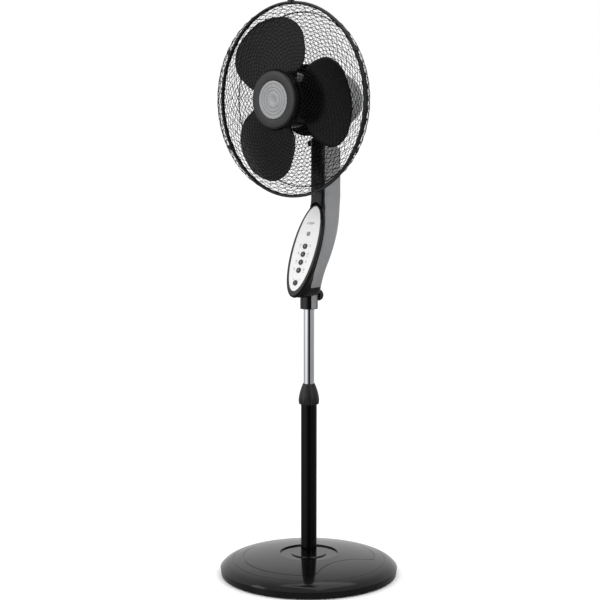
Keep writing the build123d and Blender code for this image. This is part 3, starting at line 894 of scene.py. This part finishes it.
# ------------------------------------------------------------------------------------------------ fan
@dataclass
class Blade:
    """The moulded fan: a plain drum and three wide, slightly cupped paddles."""

    drum: float = 60.0
    middle: float = 69.5
    pitch: float = 8.0
    cone: float = 3.5
    start: float = -2.5
    outline: tuple[Point, ...] = ((56, 42.0), (80, 50.0), (105, 48.5), (130, 43.5), (150, 39.0), (166, 32.0),
                                  (179, 21.0), (184.8, 0.0))
    cup: float = 3.0
    level_radius: float = 110.0
    thickness: float = 2.4

    def half_angle(self, radius: float) -> float:
        """Half the paddle's width at a radius, in degrees."""
        fine = bowed(self.outline, 8)
        for near, far in zip(fine, fine[1:]):
            if near[0] <= radius <= far[0]:
                share = (radius - near[0]) / max(far[0] - near[0], 1e-6)
                return near[1] + share * (far[1] - near[1])
        return 0.0

    def place(self, along: float, across: float) -> Place:
        """A point of the paddle.

        Args:
            along: 0 at the drum to 1 at the tip.
            across: -1 at the lower edge to 1 at the upper one.

        Returns:
            The point, with the fan's front upwards.
        """
        root, tip = self.outline[0][0], self.outline[-1][0]
        radius = root + (tip - root) * math.sin(along * math.pi / 2)
        angle = math.radians(self.half_angle(radius)) * across
        x, y = radius * math.cos(angle), radius * math.sin(angle)
        lean = math.tan(math.radians(self.pitch)) * y
        lean += math.tan(math.radians(self.cone)) * (x - self.level_radius)
        belly = self.cup * (1 - across * across) * math.sin(along * math.pi)
        return x, y, self.middle + lean - belly

    def paddle(self) -> bpy.types.Object:
        """One paddle, from a flat grid laid out to its outline and given its thickness.

        Returns:
            The paddle at angle 0.
        """
        deselect()
        bpy.ops.mesh.primitive_grid_add(x_subdivisions=28, y_subdivisions=24, size=2.0)
        paddle = bpy.context.object
        paddle.name = "paddle"
        for vertex in paddle.data.vertices:
            vertex.co = Vector(self.place((vertex.co.x + 1) / 2, vertex.co.y)) * MM
        bpy.ops.object.mode_set(mode="EDIT")
        bpy.ops.mesh.select_all(action="SELECT")
        bpy.ops.mesh.remove_doubles(threshold=0.0002)
        bpy.ops.mesh.normals_make_consistent(inside=False)
        bpy.ops.object.mode_set(mode="OBJECT")
        apply_modifier(paddle, "SOLIDIFY", thickness=self.thickness * MM, offset=0.0, use_even_offset=True)
        return soften(paddle, 0.8, 2, 50.0)

    def hub(self) -> bpy.types.Object:
        """The drum that the paddles grow from.

        Returns:
            The drum with its front end closed round the shaft.
        """
        r = self.drum
        outline = [(4.2, 60), (10, 60), (10, 84.6), (r - 2.4, 84.6), (r - 2.4, 14), (r, 14), (r, 82), (r - 1, 86),
                   (r - 4, 88.4), (r - 10, 88.9), (26, 88.9), (24, 87.9), (16, 87.9), (14, 88.9), (4.2, 88.9)]
        return soften(turn("drum", outline, 96), 0.5)

    def build(self) -> None:
        """Makes the fan and stands it for its CAD node."""
        fan = join("smoked_fan", [self.hub(), *copies(self.paddle(), 3, self.start)])
        dress(on_axis(fan), BLADE_BLACK, "rotor")
        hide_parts("fan_blade")


@dataclass
class Badge:
    """Round front badge: a shallow cup with a plain turned plate let into its face."""

    radius: float = 62.4
    face: float = 116.0
    inset: float = 40.8

    def build(self) -> None:
        """Makes the cup and its plate."""
        r, f, i = self.radius, self.face, self.inset
        outline = [(0, f - 3.6), (r - 3, f - 3.6), (r - 3, 101), (r, 101), (r, f - 4.2), (r - 0.6, f - 1.9),
                   (r - 2.4, f - 0.5), (r - 5, f), (i + 1.6, f), (i + 0.5, f - 0.9), (i + 0.3, f - 1.6),
                   (0, f - 1.6)]
        cup = turn("hub_badge", outline, 128, loop=False)
        dress(on_axis(soften(cup, 0.3, 2, 30)), BADGE_GREY, "head")
        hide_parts("front_badge")
        rings = [(i, f - 1.4), (i, f + 0.1), (i - 0.7, f + 0.55)]
        for edge in (33.0, 26.0, 19.0):
            rings += [(edge + 0.7, f + 0.55), (edge + 0.35, f + 0.15)]
            rings += [(edge - 0.35, f + 0.15), (edge - 0.7, f + 0.55)]
        rings += [(9, f + 0.55), (7.5, f + 0.2), (0, f + 0.2)]
        plate = turn("badge_plate", [(0, f - 1.4), *rings], 128, loop=False)
        dress(on_axis(soften(plate, 0.15, 2, 30)), BADGE_SILVER, "head")
        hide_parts("badge_inset")


# ------------------------------------------------------------------------------------------------ panel marks
@dataclass
class PanelMarks:
    """Small generic marks printed on the panel and on the buttons."""

    lift: float = 0.40
    button_lift: float = 2.02
    print_depth: float = 0.05
    symbol_depth: float = 0.08
    legend_side: float = 14.0
    buttons: dict[str, float] = field(default_factory=lambda: {
        "speed": 5.0, "mode": -13.6, "timer": -32.2, "swing": -50.7, "power": -79.8})

    def bar(self, size: Point, ink: Point, side: float, up: float, slant: float = 0.0) -> bpy.types.Object:
        """One thin rounded bar.

        Args:
            size: Its width and height.
            ink: Height of its foot above the panel's plane, and how far it stands up from there.
            side: Distance to the right.
            up: Distance up.
            slant: Its turn, in degrees.

        Returns:
            The bar, placed flat.
        """
        deselect()
        height, thick = ink
        bpy.ops.mesh.primitive_cube_add(size=1.0, location=(side * MM, up * MM, (height + thick / 2) * MM),
                                        rotation=(0, 0, math.radians(slant)),
                                        scale=(size[0] * MM, size[1] * MM, thick * MM))
        piece = settle(bpy.context.object)
        apply_modifier(piece, "BEVEL", width=min(size) * 0.3 * MM, segments=2, use_clamp_overlap=True)
        return piece

    def ring(self, radius: float, width: float, height: float, side: float, up: float) -> bpy.types.Object:
        """One thin ring.

        Args:
            radius: Its outer radius.
            width: How wide its line is.
            height: Height of its foot above the panel's plane.
            side: Distance to the right.
            up: Distance up.

        Returns:
            The ring, placed flat.
        """
        inner = radius - width
        top = height + self.symbol_depth
        ring = turn("ring", [(inner, height), (radius, height), (radius, top), (inner, top)], 32)
        ring.data.transform(Matrix.Translation((side * MM, up * MM, 0)))
        return ring

    def legend(self) -> bpy.types.Object:
        """All that is printed on the panel: short bars beside each button, and a plain line at the top.

        Returns:
            The joined marks.
        """
        ink = (self.lift, self.print_depth)
        marks = []
        for index, (name, up) in enumerate(self.buttons.items()):
            if name == "power":
                marks.append(self.bar((1.0, 4.6), ink, -8.5, up + 9.0, 35))
                marks.append(self.bar((1.0, 4.6), ink, 9.5, up + 8.0, -35))
                continue
            for side in (-self.legend_side, self.legend_side):
                for step in range(3):
                    width = 4.4 - 0.9 * ((step + index) % 3)
                    marks.append(self.bar((width, 0.9), ink, side, up + 4.2 - 1.7 * step))
            marks.append(self.bar((5.0, 0.6), ink, -self.legend_side * (-1) ** index, up - 4.0))
        marks.append(self.bar((15.0, 2.0), ink, 1.5, 59.6))
        marks += [self.bar((10.0, 0.9), ink, 0.0, 56.6), self.ring(2.2, 0.8, self.lift, -9.5, 58.6)]
        return join("panel_legend", marks)

    def symbol(self, name: str, up: float) -> bpy.types.Object:
        """A button's pale symbol: a ring with one to three short bars in it.

        Args:
            name: Which button.
            up: Distance up the panel.

        Returns:
            The symbol.
        """
        ink = (self.button_lift, self.symbol_depth)
        parts = [self.ring(3.3, 0.55, self.button_lift, 0.0, up)]
        if name == "power":
            parts.append(self.bar((0.6, 3.0), ink, 0.0, up + 1.6))
        elif name == "speed":
            parts += [self.bar((0.6, 1.0 + step), ink, (step - 1) * 1.2, up) for step in range(3)]
        elif name == "mode":
            parts += [self.bar((2.6, 0.5), ink, 0.0, up + 0.7 * step) for step in (-1, 1)]
        elif name == "timer":
            parts.append(self.bar((0.5, 2.0), ink, 0.0, up + 0.8))
            parts.append(self.bar((1.8, 0.5), ink, 0.7, up))
        else:
            parts += [self.bar((2.8, 0.5), ink, 0.0, up), self.bar((0.5, 1.8), ink, 1.3, up),
                      self.bar((0.5, 1.8), ink, -1.3, up)]
        return join(f"{name}_symbol", parts)

    def build(self) -> None:
        """Prints the panel and the buttons."""
        dress(on_panel(self.legend()), MARK_GREY, "mast")
        for name, up in self.buttons.items():
            dress(on_panel(self.symbol(name, up)), MARK_PALE, f"{name}_key")


# ------------------------------------------------------------------------------------------------ frame nodes
FINISHED_NODES: dict[Finish, tuple[str, ...]] = {
    BLACK_GLOSS: ("base_cover", "pole_foot", "socket_sleeve"),
    BALLAST: ("base_weight",),
    BLACK_SATIN: ("base_plate", "height_collar", "tact_switches", "power_switch", "neck_fork",
                  "clamp_knob", "tilt_screw", "tilt_yoke", "swing_housing", "motor_front_cover",
                  "blade_nut", "grille_clips", "grille_nut"),
    STEEL: ("base_screws", "base_washer", "base_bolt", "housing_screws", "swing_post", "crank_link",
            "swing_motor", "motor_stator", "front_bearing", "rear_bearing", "rotor_core", "motor_shaft"),
    RUBBER: ("rubber_feet",),
    POLE_BLACK: ("lower_pole",),
    NYLON: ("pole_collet", "tube_guide", "crank_disc"),
    CHROME: ("slide_tube",),
    HOUSING_BLACK: ("front_housing",),
    SILVER: ("rear_housing", "sleeve_trims", "motor_rear_cover"),
    BEZEL_GLOSS: ("panel_bezel",),
    PANEL_WHITE: ("control_panel",),
    WINDOW_GREY: ("ir_window",),
    BOARD_GREEN: ("control_board",),
    LAMP_LENS: ("indicator_lamps",),
    BUTTON_DARK: ("speed_button", "mode_button", "timer_button", "swing_button", "power_button"),
    ALUMINIUM: ("motor_frame",),
    COPPER: ("motor_windings",),
}


class FrameFinishes:
    """Gives the CAD nodes that stay their finishes."""

    def dress(self, nodes: dict[str, bpy.types.Object]) -> None:
        """Assigns each node's material.

        Args:
            nodes: The CAD nodes by name.
        """
        for finish, names in FINISHED_NODES.items():
            for slot in (slot for name in names for slot in nodes[name].material_slots):
                slot.material = finish.material()
            LOG.info("%s: %s", finish.name, ", ".join(names))


# ------------------------------------------------------------------------------------------------ studio
@dataclass
class Studio:
    """Pale floor, soft lights and the camera."""

    camera_place: Place = (2.2859, -2.5644, 1.0492)
    camera_turn: Place = (90.0 - 7.047, 0.0, 42.046)
    lens: float = 93.49
    floor_size: float = 80.0
    strip_direction: Place = (-0.342, -0.940, 0.0)
    strip_edges: tuple[float, float] = (0.80, 0.97)
    strip_level: float = 1.5
    back_direction: Place = (-0.74, 0.67, 0.0)
    back_edges: tuple[float, float] = (0.0, 0.9)
    back_level: float = 0.85
    low_edges: tuple[float, float] = (-0.30, -0.05)
    low_share: float = 0.35
    room_level: float = 0.5
    even_level: float = 1.25
    flag_direction: Place = (0.74, -0.673, 0.0)
    flag_edges: tuple[float, float] = (0.90, 0.955)
    flag_level: float = 0.03

    def camera(self) -> None:
        """Sets the camera."""
        deselect()
        bpy.ops.object.camera_add(location=self.camera_place,
                                  rotation=[math.radians(angle) for angle in self.camera_turn])
        camera = bpy.context.object
        camera.data.lens = self.lens
        camera.data.sensor_width = 36.0
        camera.data.clip_end = 100.0
        bpy.context.scene.camera = camera

    def floor(self) -> None:
        """Lays the floor."""
        deselect()
        bpy.ops.mesh.primitive_plane_add(size=self.floor_size)
        floor = bpy.context.object
        floor.name = "studio_floor"
        material = bpy.data.materials.new("studio_floor_white")
        material.use_nodes = True
        canvas = Canvas(material.node_tree)
        clouds = EFFECTS.place(canvas, Effect.MOTTLE, scale=3.0)
        shader = material.node_tree.nodes["Principled BSDF"]
        canvas.feed(shader.inputs["Base Color"], canvas.mix(clouds, (0.90, 0.90, 0.90), (0.93, 0.93, 0.93)))
        shader.inputs["Roughness"].default_value = 0.9
        shader.inputs["Specular IOR Level"].default_value = 0.1
        floor.data.materials.append(material)
        floor.visible_glossy = False

    def softbox(self, name: str, place: Place, aim: Place, size: Point, power: float) -> None:
        """Hangs one soft light.

        Args:
            name: The light's name.
            place: Where it hangs.
            aim: The point that it faces.
            size: Its width and height.
            power: Its power in watts.
        """
        deselect()
        facing = (Vector(aim) - Vector(place)).to_track_quat("-Z", "Y").to_euler()
        bpy.ops.object.light_add(type="AREA", location=place, rotation=facing)
        light = bpy.context.object
        light.name = name
        light.data.shape = "RECTANGLE"
        light.data.size, light.data.size_y = size
        light.data.energy = power

    def surroundings(self) -> None:
        """White behind the object; its reflections see a room with a bright strip, a dark flag and a dim floor."""
        world = bpy.data.worlds.new("studio_room")
        world.use_nodes = True
        world.node_tree.nodes.clear()
        bpy.context.scene.world = world
        canvas = Canvas(world.node_tree)
        direction = canvas.add("ShaderNodeTexCoord").outputs["Generated"]
        strip, back, flag = (
            canvas.add("ShaderNodeVectorMath", {0: direction, 1: aim}, operation="DOT_PRODUCT").outputs["Value"]
            for aim in (self.strip_direction, self.back_direction, self.flag_direction))
        front_level = canvas.span(strip, *self.strip_edges, self.room_level, self.strip_level)
        rear_level = canvas.span(back, *self.back_edges, self.room_level, self.back_level)
        height = canvas.add("ShaderNodeSeparateXYZ", {"Vector": direction}).outputs["Z"]
        low = canvas.span(height, *self.low_edges, self.low_share, 1.0)
        level = canvas.maths("MULTIPLY", canvas.maths("MAXIMUM", front_level, rear_level), low)
        shaded = canvas.span(flag, *self.flag_edges, 1.0, self.flag_level)
        path = canvas.add("ShaderNodeLightPath")
        mirrored = canvas.maths("MULTIPLY", level, shaded)
        even = canvas.maths("MAXIMUM", canvas.maths("MULTIPLY", path.outputs["Is Diffuse Ray"], self.even_level),
                            path.outputs["Is Camera Ray"])
        strength = canvas.maths("MAXIMUM", mirrored, even)
        room = canvas.add("ShaderNodeBackground", {"Color": (1.0, 1.0, 1.0), "Strength": strength})
        canvas.add("ShaderNodeOutputWorld", {"Surface": room.outputs["Background"]})

    def build(self) -> None:
        """Sets up the whole studio."""
        self.camera()
        self.floor()
        self.surroundings()
        self.softbox("key_softbox", (-2.2, -2.6, 2.6), (0, 0, 0.7), (1.6, 2.4), 14.0)
        self.softbox("fill_softbox", (3.2, -0.6, 1.8), (0, 0, 0.7), (1.2, 2.6), 10.0)
        self.softbox("top_softbox", (0.0, 0.6, 3.4), (0, 0, 0.8), (2.4, 2.4), 14.0)
        scene = bpy.context.scene
        scene.view_settings.view_transform = "Standard"
        scene.view_settings.look = "None"


def main() -> None:
    """Builds the studio and each sub-assembly in turn."""
    logging.basicConfig(level=logging.INFO, format="%(name)s %(message)s")
    Studio().build()
    FrameFinishes().dress(frame["nodes"])
    Cage().build()
    Blade().build()
    Badge().build()
    PanelMarks().build()


if __name__ == "__main__":
    main()
